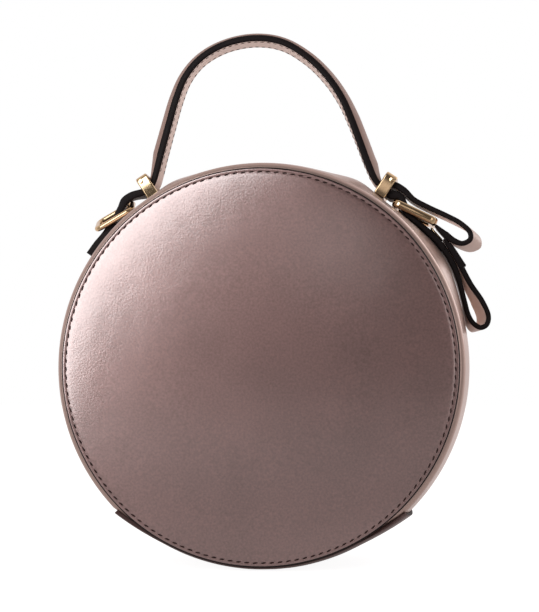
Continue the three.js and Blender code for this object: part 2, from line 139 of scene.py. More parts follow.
# %% [markdown]
# ## Finishes
# The leather is smooth calf with a metallic rose finish: a thin film with metal in it over a fine grain,
# under a clear coat. One recipe makes seven tones of it. The pale hoop tone is painted light, the pale
# lining tone is partly painted light, and the dark base strip tone is painted shade. The base is more or
# less metallic and blotched, its roughness wanders, and three bumps ride on it: slow waves, flecks and fine
# pebbles. A photograph of leather could be laid on instead, but patterns made by nodes stay sharp close up.
# They read Object coordinates, in metres, so they hold still in every view.

# %% Node helpers
PLAIN_DETAIL, FINE_DETAIL = 2, 3  # octaves of a noise
NOISE_LOW, NOISE_HIGH = 0.3, 0.7  # a noise seldom leaves this range


def new_material(name):
    material = bpy.data.materials.new(name)
    material.use_nodes = True
    tree = material.node_tree
    return material, tree, tree.nodes["Principled BSDF"]


def set_inputs(node, values):
    """Link a value that comes from another node; set a plain one."""
    for name, value in values.items():
        if isinstance(value, bpy.types.NodeSocket):
            node.id_data.links.new(value, node.inputs[name])
        else:
            node.inputs[name].default_value = value


def add_node(tree, kind, inputs=None, **settings):
    node = tree.nodes.new(kind)
    for name, value in settings.items():
        setattr(node, name, value)
    set_inputs(node, inputs or {})
    return node


def object_place(tree):
    return add_node(tree, "ShaderNodeTexCoord").outputs["Object"]


def object_noise(tree, scale, detail=PLAIN_DETAIL, stretch=(1, 1, 1)):
    mapping = add_node(tree, "ShaderNodeMapping", {"Vector": object_place(tree), "Scale": stretch})
    inputs = {"Vector": mapping.outputs["Vector"], "Scale": scale, "Detail": detail}
    return add_node(tree, "ShaderNodeTexNoise", inputs).outputs["Fac"]


def colour_between(tree, factor, low, high):
    ramp = add_node(tree, "ShaderNodeValToRGB", {"Fac": factor})
    first, last = ramp.color_ramp.elements
    first.position, first.color = NOISE_LOW, (*low, 1)
    last.position, last.color = NOISE_HIGH, (*high, 1)
    return ramp.outputs["Color"]


def value_between(tree, factor, low, high, start=NOISE_LOW, end=NOISE_HIGH):
    inputs = {"Value": factor, "From Min": start, "From Max": end, "To Min": low, "To Max": high}
    return add_node(tree, "ShaderNodeMapRange", inputs).outputs["Result"]


def bump_over(tree, height, depth, strength, below=None):
    bump = add_node(tree, "ShaderNodeBump", {"Height": height, "Distance": depth, "Strength": strength})
    if below is not None:
        set_inputs(bump, {"Normal": below})
    return bump.outputs["Normal"]


print("materials before the finishes:", len(bpy.data.materials))

# %% Leathers
PEBBLES_PER_METRE, FLECKS_PER_METRE = 1200, 900
WAVES_PER_METRE, PATCHES_PER_METRE, WANDER_PER_METRE = 34, 26, 60
FLECK_SHARE = 0.7  # of the blotches; the patches make up the rest
# depth in metres, strength
WAVE_BUMP, FLECK_BUMP, PEBBLE_BUMP = (0.0024, 0.08), (0.0002, 0.09), (0.0002, 0.11)
COAT_ROUGHNESS, COAT_IOR = 0.2, 2.4
# dark tone, light tone, metallic, range of roughness, coat
LEATHERS = {
    "body": ((0.19, 0.105, 0.096), (0.32, 0.176, 0.163), 0.9, (0.36, 0.4), 1),
    # the hoop's pale tone is painted light: a lit copy of the body leather, as the hoop looks at a grazing
    # angle
    "hoop": ((0.48, 0.345, 0.3), (0.54, 0.39, 0.34), 0.9, (0.34, 0.4), 0.4),
    "strap": ((0.5, 0.36, 0.305), (0.55, 0.4, 0.34), 0.3, (0.4, 0.5), 0.2),
    # the lining's pale tone is partly painted light: a lit copy of the strap leather, for faces turned
    # under or inward
    "lining": ((0.86, 0.69, 0.615), (0.91, 0.74, 0.665), 0.05, (0.45, 0.55), 0.1),
    "cover": ((0.34, 0.22, 0.185), (0.39, 0.255, 0.215), 0.1, (0.5, 0.6), 0),
    # the base strip's dark tone is painted shade: a shaded copy of the body leather, for little light
    # reaches the bottom
    "base": ((0.11, 0.064, 0.059), (0.135, 0.08, 0.074), 0.3, (0.46, 0.54), 0.1),
    "tab": ((0.014, 0.01, 0.011), (0.026, 0.018, 0.019), 0.1, (0.5, 0.6), 0),
}


def leather(name, dark, light, metallic, roughness, coat):
    material, tree, shader = new_material(name)
    flecks = object_noise(tree, FLECKS_PER_METRE, FINE_DETAIL)
    patches = object_noise(tree, PATCHES_PER_METRE, FINE_DETAIL)
    blotches = add_node(tree, "ShaderNodeMix", {"Factor": FLECK_SHARE, "A": patches, "B": flecks})
    tone = colour_between(tree, blotches.outputs["Result"], dark, light)
    wander = object_noise(tree, WANDER_PER_METRE, FINE_DETAIL)
    rough = value_between(tree, wander, *roughness)
    spread = {"Vector": object_place(tree), "Scale": PEBBLES_PER_METRE}
    pebbles = add_node(tree, "ShaderNodeTexVoronoi", spread, feature="SMOOTH_F1")
    uneven = bump_over(tree, object_noise(tree, WAVES_PER_METRE), *WAVE_BUMP)
    fine = bump_over(tree, flecks, *FLECK_BUMP, uneven)
    grain = bump_over(tree, pebbles.outputs["Distance"], *PEBBLE_BUMP, fine)
    set_inputs(shader, {"Base Color": tone, "Roughness": rough, "Normal": grain, "Coat Normal": grain})
    set_inputs(shader, {"Metallic": metallic, "Coat Weight": coat})
    set_inputs(shader, {"Coat Roughness": COAT_ROUGHNESS, "Coat IOR": COAT_IOR})
    return material


leathers = {kind: leather(f"{kind}_leather", *row) for kind, row in LEATHERS.items()}
print("leathers:", [material.name for material in leathers.values()])

# %% [markdown]
# Cut leather edges are sealed with several coats of dark paint, which leaves a slightly uneven satin
# bead. The thread is waxed and dark brown, with a twist that catches light. Both could be the leather's
# shader in a darker tone, but neither has its metal film or its coat, so each gets a small shader.

# %% Edge paint and thread
PAINT_TONES = (0.008, 0.0055, 0.006), (0.014, 0.0095, 0.01)
PAINT_PER_METRE, PAINT_BUMP = 240, (0.0003, 0.2)
PAINT_ROUGHNESS, PAINT_SPECULAR = (0.5, 0.65), 0.15
THREAD_TONES = (0.020, 0.009, 0.008), (0.040, 0.018, 0.016)
THREAD_PER_METRE, THREAD_BUMP = 900, (0.0003, 0.4)
THREAD_ROUGHNESS, THREAD_SPECULAR = 0.75, 0.2


def edge_paint():
    material, tree, shader = new_material("edge_paint")
    noise = object_noise(tree, PAINT_PER_METRE, FINE_DETAIL)
    tone = colour_between(tree, noise, *PAINT_TONES)
    rough = value_between(tree, noise, *PAINT_ROUGHNESS)
    bead = bump_over(tree, noise, *PAINT_BUMP)
    set_inputs(shader, {"Base Color": tone, "Roughness": rough, "Normal": bead})
    set_inputs(shader, {"Specular IOR Level": PAINT_SPECULAR})
    return material


def waxed_thread():
    material, tree, shader = new_material("thread")
    noise = object_noise(tree, THREAD_PER_METRE)
    tone = colour_between(tree, noise, *THREAD_TONES)
    set_inputs(shader, {"Base Color": tone, "Normal": bump_over(tree, noise, *THREAD_BUMP)})
    set_inputs(shader, {"Roughness": THREAD_ROUGHNESS, "Specular IOR Level": THREAD_SPECULAR})
    return material


painted_edge = edge_paint()
dark_thread = waxed_thread()
print("finishes:", painted_edge.name, dark_thread.name)

# %% [markdown]
# The fittings are zinc with a pale gold plate: fully metallic, with faint polishing marks, which are a
# noise stretched along the bag's depth. The zip tape is a plain weave, and a checker is enough for it.

# %% Gold and zip tape
GOLD_TONES = (0.70, 0.51, 0.30), (0.76, 0.57, 0.35)
GOLD_ROUGHNESS = (0.1, 0.14)
WEAR_PER_METRE, MARKS_PER_METRE = 120, 700
MARK_STRETCH, MARK_BUMP = (1, 0.15, 1), (0.00004, 0.05)
TAPE_TONES = (0.105, 0.066, 0.06), (0.15, 0.098, 0.09)
TAPE_ROUGHNESS = 0.85
WEAVES_PER_METRE, WEAVE_BUMP = 1900, (0.0002, 0.5)


def gold_plate():
    material, tree, shader = new_material("pale_gold")
    marks = object_noise(tree, MARKS_PER_METRE, FINE_DETAIL, MARK_STRETCH)
    tone = colour_between(tree, object_noise(tree, WEAR_PER_METRE), *GOLD_TONES)
    rough = value_between(tree, marks, *GOLD_ROUGHNESS)
    polish = bump_over(tree, marks, *MARK_BUMP)
    set_inputs(shader, {"Base Color": tone, "Roughness": rough, "Normal": polish, "Metallic": 1})
    return material


def zip_cloth():
    material, tree, shader = new_material("zip_cloth")
    spread = {"Vector": object_place(tree), "Scale": WEAVES_PER_METRE}
    weave = add_node(tree, "ShaderNodeTexChecker", spread).outputs["Fac"]
    tone = colour_between(tree, weave, *TAPE_TONES)
    threads = bump_over(tree, weave, *WEAVE_BUMP)
    set_inputs(shader, {"Base Color": tone, "Normal": threads, "Roughness": TAPE_ROUGHNESS})
    return material


pale_gold = gold_plate()
woven_tape = zip_cloth()
print("finishes:", pale_gold.name, woven_tape.name)

# %% [markdown]
# ## Things set out along a line
# Stitches and zip teeth repeat along a path. They could be copied by an array modifier for every path,
# but one tree of Geometry Nodes serves them all. It turns a line of edges into a curve, spaces points
# along it, and puts a small body on each, turned to the path and to the surface below, which is stored
# on the line as the attribute "up".

# %% The tree that sets out small bodies
STITCH_BODY = {"Segments": 8, "Rings": 6, "Radius": 0.5}
TOOTH_BODY = {"Size": (1, 1, 1)}


def run_tree(name, tooth):
    tree = bpy.data.node_groups.new(name, "GeometryNodeTree")
    socket = tree.interface.new_socket
    socket("Line", in_out="INPUT", socket_type="NodeSocketGeometry")
    for title in ("Pitch", "Length", "Width", "Thickness", "Slant"):
        socket(title, in_out="INPUT", socket_type="NodeSocketFloat")
    socket("Finish", in_out="INPUT", socket_type="NodeSocketMaterial")
    socket("Geometry", in_out="OUTPUT", socket_type="NodeSocketGeometry")
    given = tree.nodes.new("NodeGroupInput").outputs

    def out(kind, output, inputs=None, **settings):
        return add_node(tree, kind, inputs, **settings).outputs[output]

    curve = out("GeometryNodeMeshToCurve", "Curve", {"Mesh": given["Line"]})
    spacing = {"Curve": curve, "Length": given["Pitch"]}
    spaced = out("GeometryNodeResampleCurve", "Curve", spacing, mode="LENGTH")
    along = out("GeometryNodeInputTangent", "Tangent")
    above = out("GeometryNodeInputNamedAttribute", "Attribute", {"Name": "up"}, data_type="FLOAT_VECTOR")
    axes = {"Primary Axis": above, "Secondary Axis": along}
    facing = out("FunctionNodeAxesToRotation", "Rotation", axes, primary_axis="Z", secondary_axis="X")
    if tooth:
        body = out("GeometryNodeMeshCube", "Mesh", TOOTH_BODY)
    else:
        body = out("GeometryNodeMeshUVSphere", "Mesh", STITCH_BODY)
    sides = {"X": given["Length"], "Y": given["Width"], "Z": given["Thickness"]}
    size = out("ShaderNodeCombineXYZ", "Vector", sides)
    turn = out("ShaderNodeCombineXYZ", "Vector", {"Z": given["Slant"]})
    shaping = {"Geometry": body, "Scale": size, "Rotation": turn}
    shaped = out("GeometryNodeTransform", "Geometry", shaping)
    placing = {"Points": spaced, "Instance": shaped, "Rotation": facing}
    placed = out("GeometryNodeInstanceOnPoints", "Instances", placing)
    real = out("GeometryNodeRealizeInstances", "Geometry", {"Geometry": placed})
    shading = {"Geometry": real, "Shade Smooth": not tooth}
    smooth = out("GeometryNodeSetShadeSmooth", "Geometry", shading)
    finishing = {"Geometry": smooth, "Material": given["Finish"]}
    finished = out("GeometryNodeSetMaterial", "Geometry", finishing)
    set_inputs(tree.nodes.new("NodeGroupOutput"), {"Geometry": finished})
    return tree


stitch_tree = run_tree("stitch_run", tooth=False)
tooth_tree = run_tree("tooth_run", tooth=True)
print("trees:", stitch_tree.name, tooth_tree.name)


# %% Lay a run along lines
def bake_modifiers(piece):
    bpy.context.view_layer.update()
    shaped = piece.evaluated_get(bpy.context.evaluated_depsgraph_get())
    piece.data = bpy.data.meshes.new_from_object(shaped)
    piece.modifiers.clear()


def lay_run(name, tree, lines, sizes, finish):
    """Each line holds its points in millimetres, their up directions, and whether it is closed."""
    points, ups, edges = [], [], []
    for spots, directions, closed in lines:
        first, count = len(points), len(spots)
        points += in_metres(spots)
        ups += [list(direction) for direction in directions]
        edges += [(first + i, first + i + 1) for i in range(count - 1)]
        if closed:
            edges.append((first + count - 1, first))
    mesh = bpy.data.meshes.new(name)
    mesh.from_pydata(points, edges, [])
    mesh.attributes.new("up", "FLOAT_VECTOR", "POINT").data.foreach_set("vector", np.ravel(ups))
    piece = add_object(name, mesh)
    modifier = piece.modifiers.new("run", "NODES")
    modifier.node_group = tree
    sockets = [item for item in tree.interface.items_tree if item.in_out == "INPUT"]
    identifiers = {item.name: item.identifier for item in sockets}
    for title, value in sizes.items():
        modifier[identifiers[title]] = value if title == "Slant" else value * MM
    modifier[identifiers["Finish"]] = finish
    bake_modifiers(piece)
    piece.data.name = name
    return piece


# %% [markdown]
# ## The two discs
# Each disc is a stiff panel, domed a few millimetres and pulled flat along its sewn line. Beyond the
# stitches the lip swells a little and ends in a painted edge. The dark edge paint is carried onto the lip's
# outer rows, partly as real paint and partly as painted shade of the gap beside the hoop's rim. A flattened
# sphere would give the dome alone, so it is turned like a bowl: one profile, carried round by its angle,
# with the seam pressed deeper at every stitch.

# %% Panels
PANEL_WALL = 2.2
PANEL_DOME = 3.2
PANEL_DOME_FALL = 0.8
SEAM_RADIUS = 97.7
SEAM_DIP = 0.08
SEAM_DIP_WIDTH = 0.85
STITCH_PULL = 0.12  # share of the dip that comes and goes with the stitches
LIP_SWELL = 0.04
PANEL_STITCHES = 147
STEPS_PER_STITCH = 4
FACE_RADII = [*np.linspace(8, 80, 10), *np.linspace(84, 95, 9), 95.8, 96.5, 97, 97.4, SEAM_RADIUS, 98, 98.4]
UNDER_RADII = [SEAM_RADIUS, 92, 84, 70, 50, 25]
# radius, height above the sewn face
LIP_ROWS = [(98.9, -0.02), (99.3, -0.08), (99.6, -0.22), (99.82, -0.42)]
EDGE_ROWS = [(PANEL_RADIUS, -0.8), (PANEL_RADIUS, -PANEL_WALL + 0.4), (PANEL_RADIUS - 0.3, -PANEL_WALL)]
# lip rows under the edge paint: partly real paint, partly painted shade of the gap beside the rim
LIP_PAINT_AND_SHADE_ROWS = 3
PLAIN_FACE, PAINTED_FACE, TOP_FACE = range(3)  # places in a piece's list of materials


def panel_rise(radius):
    share = min(radius / SEAM_RADIUS, 1)
    return PANEL_DOME * (1 - share**2) ** PANEL_DOME_FALL


def panel_face(radius, angle):
    pull = 1 - STITCH_PULL + STITCH_PULL * math.cos(math.radians(angle) * PANEL_STITCHES)
    dip = SEAM_DIP * pull * math.exp(-(((radius - SEAM_RADIUS) / SEAM_DIP_WIDTH) ** 2))
    swell = LIP_SWELL if radius > SEAM_RADIUS else 0
    return PANEL_WALL + panel_rise(radius) + swell - dip


def make_panel(name, node, side):
    count = PANEL_STITCHES * STEPS_PER_STITCH
    angles = np.arange(count) * 360 / count
    rings = [[(r, panel_face(r, a)) for a in angles] for r in FACE_RADII]
    rings += [[(r, panel_face(r, a) + drop) for a in angles] for r, drop in LIP_ROWS]
    # from here the lip takes the edge paint, which is partly painted shade of the gap beside the rim
    paint_and_shade_from = len(rings) - LIP_PAINT_AND_SHADE_ROWS
    rings += [[(r, PANEL_WALL + drop) for a in angles] for r, drop in EDGE_ROWS]
    paint_to = len(rings) - 1
    rings += [[(r, panel_rise(r)) for a in angles] for r in UNDER_RADII]
    points = [(0, side * (PANEL_SEAT + height), 0) for height in (panel_face(0, 0), panel_rise(0))]
    first = len(points)
    last = first + (len(rings) - 1) * count
    for ring in rings:
        points += [drum_point(a, r, side * (PANEL_SEAT + h)) for a, (r, h) in zip(angles, ring)]
    faces = [(0, first + i, first + (i + 1) % count) for i in range(count)]
    faces += [(1, last + (i + 1) % count, last + i) for i in range(count)]
    slots = [PLAIN_FACE] * len(faces)
    for j in range(len(rings) - 1):
        faces += band(first + j * count, first + (j + 1) * count, count)
        slots += [PAINTED_FACE if paint_and_shade_from <= j < paint_to else PLAIN_FACE] * count
    panel = make_piece(name, points, faces, [leathers["body"], painted_edge], slots)
    settle(panel, "body_leather", node)


make_panel("front_disc", "front_panel", -1)
make_panel("back_disc", "back_panel", 1)

# %% [markdown]
# Each disc is sewn round with a plain lockstitch. A texture could draw it, but a thread that stands up
# catches the light, so the run tree lays one small rounded body for every stitch, a little aslant.

# %% Panel stitches
PITCH = 2 * math.pi * SEAM_RADIUS / PANEL_STITCHES
SLANT = math.radians(9)
PANEL_THREAD = {"Pitch": PITCH, "Length": 2.75, "Width": 0.85, "Thickness": 0.75, "Slant": SLANT}
THREAD_SINK = 0.45  # share of the seam's dip
SEAM_ANGLES = np.arange(360)


def panel_seam(side):
    depth = side * (PANEL_SEAT + PANEL_WALL - SEAM_DIP * THREAD_SINK)
    spots = [drum_point(angle, SEAM_RADIUS, depth) for angle in SEAM_ANGLES]
    return spots, [(0, side, 0)] * len(spots), True


for name, side in (("front_stitches", -1), ("back_stitches", 1)):
    stitches = lay_run(name, stitch_tree, [panel_seam(side)], PANEL_THREAD, dark_thread)
    settle(stitches, "body_leather")

# %% [markdown]
# ## The hoop and its rolled rims
# The gusset is one strip of leather bent into a hoop. It bulges between the discs, its rims are rolled
# over a cord and turned in behind the discs, and the handle's pull lifts it beside each bracket. A bent
# plane with a Solidify modifier would do for a plain strip. Here two grids, outer and inner, are joined
# wherever an edge is left open, because that also walls the zip's slot.

# %% Hoop and base radii
GAP = 0.3
HALF_DEPTH = PANEL_SEAT - GAP
RIM_RADIUS = 102.9
RIM_ROLL = 3.5
RIM_FLANGE = 9
GUSSET_WALL = 2
GUSSET_CROWN = 3.2
BRACKET_TENT = {"angle": 26.5, "spread": 6.5, "height": 2.7}
TAB_LIFT = {"angle": 58, "spread": 12, "height": 3.2}
WALL_END = HALF_DEPTH - RIM_ROLL
BASE_WALL = 1.6
BASE_SPREAD = 45
BASE_RIM_RADIUS = 101.6
BASE_FLARE_START = 28
BASE_FLARE_LEFT, BASE_FLARE_RIGHT = 2.8, 3.3
BASE_FLARE_CURVE = 1.5


def pulled(at, angle, spread, height):
    return height * math.exp(-(((at - angle) / spread) ** 2))


def crown_at(angle, depth):
    from_top = angle - 360 if angle > 180 else angle
    tent = pulled(abs(from_top), **BRACKET_TENT) + pulled(from_top, **TAB_LIFT)
    return (GUSSET_CROWN + tent) * (1 - (depth / WALL_END) ** 2)


def base_radius(angle, depth):
    from_bottom = angle - 180
    flare = BASE_FLARE_LEFT if from_bottom > 0 else BASE_FLARE_RIGHT
    along = (abs(from_bottom) - BASE_FLARE_START) / (BASE_SPREAD - BASE_FLARE_START)
    rim = BASE_RIM_RADIUS + flare * min(max(along, 0), 1) ** BASE_FLARE_CURVE
    return min(rim + crown_at(angle, depth), DISC_HEIGHT / math.cos(math.radians(from_bottom)))


def gusset_radius(angle, depth):
    free = RIM_RADIUS + crown_at(angle, depth)
    if abs(angle - 180) > BASE_SPREAD:
        return free
    return min(free, base_radius(angle, depth) - BASE_WALL - GAP)


def section(angle, radius_at, lift, turns, depths):
    """Depth and radius of points across the hoop: rolled front rim, wall, rolled back rim."""
    roll = RIM_ROLL + lift
    middle = radius_at(angle, WALL_END) - lift - RIM_ROLL
    turns = [math.radians(turn) for turn in turns]
    rolled = [(WALL_END + roll * math.cos(turn), middle + roll * math.sin(turn)) for turn in turns]
    front = [(-depth, radius) for depth, radius in rolled]
    wall = [(depth, radius_at(angle, depth)) for depth in depths]
    return front + wall + rolled[::-1]


print("hoop depth:", round(2 * HALF_DEPTH, 1), "mm")


# %% Shells from two grids
def shell_faces(rows, columns, closed, hole=None):
    spans = rows if closed else rows - 1
    cells = [(i, j) for i in range(spans) for j in range(columns - 1) if hole is None or not hole(i, j)]
    size = rows * columns
    faces, kinds, open_edges = [], [], {}
    for i, j in cells:
        k = (i + 1) % rows
        corners = [i * columns + j, k * columns + j, k * columns + j + 1, i * columns + j + 1]
        faces.append(corners)
        faces.append([corner + size for corner in reversed(corners)])
        kinds += ["face", "face"]
        for a, b in zip(corners, corners[1:] + corners[:1]):
            if (b, a) in open_edges:
                del open_edges[(b, a)]
            else:
                open_edges[(a, b)] = True
    for a, b in open_edges:
        faces.append([b, a, a + size, b + size])
        kinds.append("end" if a // columns == b // columns else "rim")
    return faces, kinds


def make_shell(name, line_at, angles, materials, closed=False, hole=None):
    """A wall with one line of points at every angle; the last material goes on its cut ends."""
    points = [point for inner in (False, True) for angle in angles for point in line_at(angle, inner)]
    columns = len(points) // (2 * len(angles))
    faces, kinds = shell_faces(len(angles), columns, closed, hole)
    end = len(materials) - 1
    return make_piece(name, points, faces, materials, [end if kind == "end" else 0 for kind in kinds])


print("a shell of one cell has", len(shell_faces(2, 2, closed=False)[0]), "faces")

# %% Gusset
ZIP_DEPTH, ZIP_SPREAD, ZIP_SLOT = 18, 75, 6.4
ROLL_TURNS = [0, 15, 30, 45, 60, 75, 90]
HOOP_STEP = 1.25
slot_front, slot_back = ZIP_DEPTH - ZIP_SLOT / 2, ZIP_DEPTH + ZIP_SLOT / 2
wall_depths = [-34, -31, -27, -22.5, -18, -13, -8, -3, 2, 7, 11, slot_front, slot_back, 25, 28.5, 32, 34.5]
hoop_angles = np.arange(0, 360, HOOP_STEP)
slot_column = 1 + len(ROLL_TURNS) + wall_depths.index(slot_front)  # after the flange and the front rim


def gusset_line(angle, inner):
    shrink = GUSSET_WALL if inner else 0
    line = section(angle, lambda a, d: gusset_radius(a, d) - shrink, -shrink, ROLL_TURNS, wall_depths)
    lip = gusset_radius(angle, WALL_END) - RIM_FLANGE
    lip_depth = HALF_DEPTH - shrink
    line = [(-lip_depth, lip)] + line + [(lip_depth, lip)]
    return [drum_point(angle, radius, depth) for depth, radius in line]


def in_slot(i, j):
    from_top = min(hoop_angles[i], 360 - hoop_angles[i] - HOOP_STEP)
    return j == slot_column and from_top < ZIP_SPREAD


# the hoop gets the paler, lit copy of the body leather: painted light
hoop = make_shell("gusset_hoop", gusset_line, hoop_angles, [leathers["hoop"]], closed=True, hole=in_slot)
settle(hoop, "body_leather", "gusset")

# %% [markdown]
# ## The base strip
# A second strip wraps the lower quarter, over the hoop and its rims. Its darker tone is painted shade, for
# little light reaches the bottom of the bag. It takes the wear, so it is flattened where the bag stands and
# its two ends curl away from the hoop. Its cut ends are painted. It could be a shrink-wrapped copy of the
# hoop, but the hoop's own section, lifted a little, fits it surely.

# %% Base strip
BASE_TURNS = [55, 65, 75, 85]
BASE_STATIONS = 73
base_depths = [-34.5, -31, -26, -20, -14, -7, 0, 7, 14, 20, 26, 31, 34.5]
base_angles = np.linspace(180 - BASE_SPREAD, 180 + BASE_SPREAD, BASE_STATIONS)


def base_line(angle, inner):
    shrink = BASE_WALL if inner else 0
    lift = GAP + BASE_WALL - shrink
    line = section(angle, lambda a, d: base_radius(a, d) - shrink, lift, BASE_TURNS, base_depths)
    return [drum_point(angle, radius, depth) for depth, radius in line]


# the strip gets the darker, shaded copy of the body leather: painted shade
strip = make_shell("base_strip", base_line, base_angles, [leathers["base"], painted_edge])
settle(strip, "base_leather", "base_panel")

# %% [markdown]
# ## Straps
# Every strap is a band that follows a bent line in the bag's front plane: the handle, the two tabs, the
# two spare loops and the keeper. A curve object with a bevel could draw them, but it can't thicken, twist
# and paint its edges as well. So a table gives the line of the strap's front edge, and a section is
# carried along a smooth curve through it. The tabs are dark, the handle has a padded cover over a pale
# lining, the loops and the keeper are pale, and all edges are painted dark. The lining tone is partly
# painted light: a paler copy of the strap leather on the handle's underside, on the inner faces of the
# loops and on one face of the keeper.

# %% Strap tables
STRAP_WIDTH = 16
STRAP_WALL = 3.1
# x, z, padding, share of the twist
HANDLE_ROWS = [
    (-61.6, 93.9, 0, 0), (-59.6, 97.6, 0.7, 0), (-55.4, 112.4, 1.6, 0.3), (-51.4, 127.3, 1.5, 0.3),
    (-47.2, 142, 1.4, 0.4), (-42.4, 153.3, 1.2, 0.6), (-34, 162.9, 1.1, 1), (-21.5, 169.8, 1, 1),
    (-6, 172.6, 1, 1), (8.2, 170.4, 1, 1), (21.5, 162.4, 1.1, 1), (32, 151.8, 1.2, 1),
    (39.3, 140.8, 1.3, 0.9), (43.9, 130.3, 1.5, 0.6), (48.4, 118.4, 1.5, 0.3), (53.2, 105.4, 1.5, 0),
    (57.4, 96.9, 0.7, 0), (60.8, 94, 0, 0),
]
# x, z, wall, share of the twist
TAB_LEFT_ROWS = [
    (-62.8, 92.7, 3.3, 0), (-66.7, 91.6, 3.8, 0.1), (-71.2, 90.2, 4.1, 0.3), (-75, 87.5, 4.2, 0.6),
    (-76.8, 83.8, 3.8, 0.7), (-79.8, 78.4, 3.4, 0.4), (-84.9, 69.3, 5.2, 0), (-88.8, 64.2, 5.8, 0),
    (-92.8, 58.5, 6, 0),
]
# x, z, wall
TAB_RIGHT_ROWS = [
    (62.3, 91.7, 3.4), (65.6, 90, 5), (69.8, 89, 3.6), (71.8, 85.4, 3.7), (72.7, 81.5, 4.3),
    (74.6, 79, 3.2), (79.9, 74.5, 2.9), (85.7, 69.5, 3.3), (89.8, 65.3, 3.4), (92.7, 61.1, 3),
]
# x, z, wall, share of the twist
UPPER_LOOP_ROWS = [
    (64, 95.5, 3.1, 0), (67.7, 94.8, 3.4, 0), (72.2, 92, 3.4, 0), (77, 87.4, 2.8, 0.1),
    (84.3, 83.4, 2.7, 0.35), (94.2, 78.7, 2.7, 0.7), (101.3, 74.8, 2.7, 0.9), (106.2, 69.9, 2.7, 1),
    (106.2, 66.3, 2.7, 1), (102.3, 64.3, 2.7, 0.9), (98.1, 65.6, 3.1, 0.7), (93.9, 68.6, 3.7, 0.4),
    (88.5, 73.6, 1.6, 0.2),
]
LOWER_LOOP_ROWS = [
    (93, 61, 3.1, 0), (95.1, 57.7, 3.1, 0), (98.5, 51, 3.1, 0), (101.2, 42.9, 2.7, 0),
    (103.6, 33.4, 2.6, 0), (105.5, 26.8, 2.6, 0.15), (108.1, 22.6, 2.6, 0.5), (112, 20.4, 2.6, 0.9),
    (115, 21.9, 2.6, 1), (116, 26.2, 2.6, 1), (112.8, 34, 2.7, 0.9), (106.8, 42.7, 2.9, 0.45),
    (102.2, 51.1, 3, 0),
]
# x, z, wall
KEEPER_ROWS = [(93.1, 66.7, 1.6), (94.5, 64.2, 2.4), (95.9, 62.6, 3.3), (102.7, 51.8, 4)]
# how far the rear edge is moved in x and z
TAB_LEFT_TWIST = (-2.5, 4.4)
HANDLE_TWIST = (-1.2, 0)
UPPER_LOOP_TWIST = (5.5, -2.5)
LOWER_LOOP_TWIST = (-4.5, -1)
print("strap tables:", len(HANDLE_ROWS), "handle rows")

# %% A smooth line through a table
STEPS_PER_ROW = 8
DOME_CURVE = 0.7


def smooth_line(rows):
    """Centripetal curve through the first two columns; the other columns are carried along evenly."""
    table = np.array(rows, float)
    spots = table[:, :2]
    ends = np.vstack([2 * spots[0] - spots[1], spots, 2 * spots[-1] - spots[-2]])
    line = []
    for i in range(len(spots) - 1):
        p0, p1, p2, p3 = ends[i : i + 4]
        d0, d1, d2 = (math.sqrt(np.linalg.norm(b - a)) for a, b in ((p0, p1), (p1, p2), (p2, p3)))
        t1 = ((p1 - p0) / d0 - (p2 - p0) / (d0 + d1) + (p2 - p1) / d1) * d1
        t2 = ((p2 - p1) / d1 - (p3 - p1) / (d1 + d2) + (p3 - p2) / d2) * d1
        last = i == len(spots) - 2
        for s in np.linspace(0, 1, STEPS_PER_ROW + 1)[: None if last else -1]:
            curve = p1 + t1 * s + (3 * (p2 - p1) - 2 * t1 - t2) * s**2 + (2 * (p1 - p2) + t1 + t2) * s**3
            line.append([*curve, *(table[i, 2:] * (1 - s) + table[i + 1, 2:] * s)])
    return np.array(line)


class Strap:
    """A band along a table: at() gives its points at a share of its width, on its upper or lower side."""

    def __init__(self, rows, columns, wall=STRAP_WALL, twist=(0, 0), dome=0):
        line = smooth_line(rows)
        self.line = line[:, :2]
        extra = dict(zip(columns, line[:, 2:].T))
        self.wall = extra.get("wall", np.full(len(line), wall))
        self.part = extra.get("twist", np.zeros(len(line)))
        self.pad = extra.get("pad", np.zeros(len(line)))
        self.twist = np.array(twist)
        self.dome = dome

    def edge(self, share):
        line = self.line + np.outer(self.part * share, self.twist)
        run = np.gradient(line, axis=0)
        run /= np.linalg.norm(run, axis=1)[:, None]
        return line, np.stack([-run[:, 1], run[:, 0]], 1)

    def at(self, share, side, inset=0.0, bulge=0.0):
        line, normal = self.edge(share)
        rise = self.dome * math.sin(math.pi * min(max(share, 0), 1)) ** DOME_CURVE if side > 0 else 0
        height = side * (self.wall / 2 - inset) + rise * self.pad
        spot = line + normal * height[:, None]
        depth = np.full(len(spot), (share - 0.5) * STRAP_WIDTH + bulge)
        points = np.stack([spot[:, 0], depth, spot[:, 1]], 1)
        return points, np.stack([normal[:, 0], 0 * depth, normal[:, 1]], 1)


print("handle line:", len(smooth_line(HANDLE_ROWS)), "stations")

# %% Build a strap's mesh
EDGE_ROUND = 0.55
EDGE_BULGE = 0.18
EDGE_FULL_AT = 1.2  # below the face, where the painted bead is fullest
SHOULDER_BULGE = 0.08
CORNER_SHARE = 0.3
EDGE_SHARE = EDGE_ROUND / STRAP_WIDTH
FACE_SHARES = [EDGE_SHARE, 0.07, 0.13, 0.22, 0.36, 0.5, 0.64, 0.78, 0.87, 0.93, 1 - EDGE_SHARE]
# share of the width, depth below the face, bulge
REAR_EDGE = [
    (1 - EDGE_SHARE * CORNER_SHARE, EDGE_ROUND * CORNER_SHARE, 0),
    (1, EDGE_ROUND, SHOULDER_BULGE),
    (1, EDGE_FULL_AT, EDGE_BULGE),
]


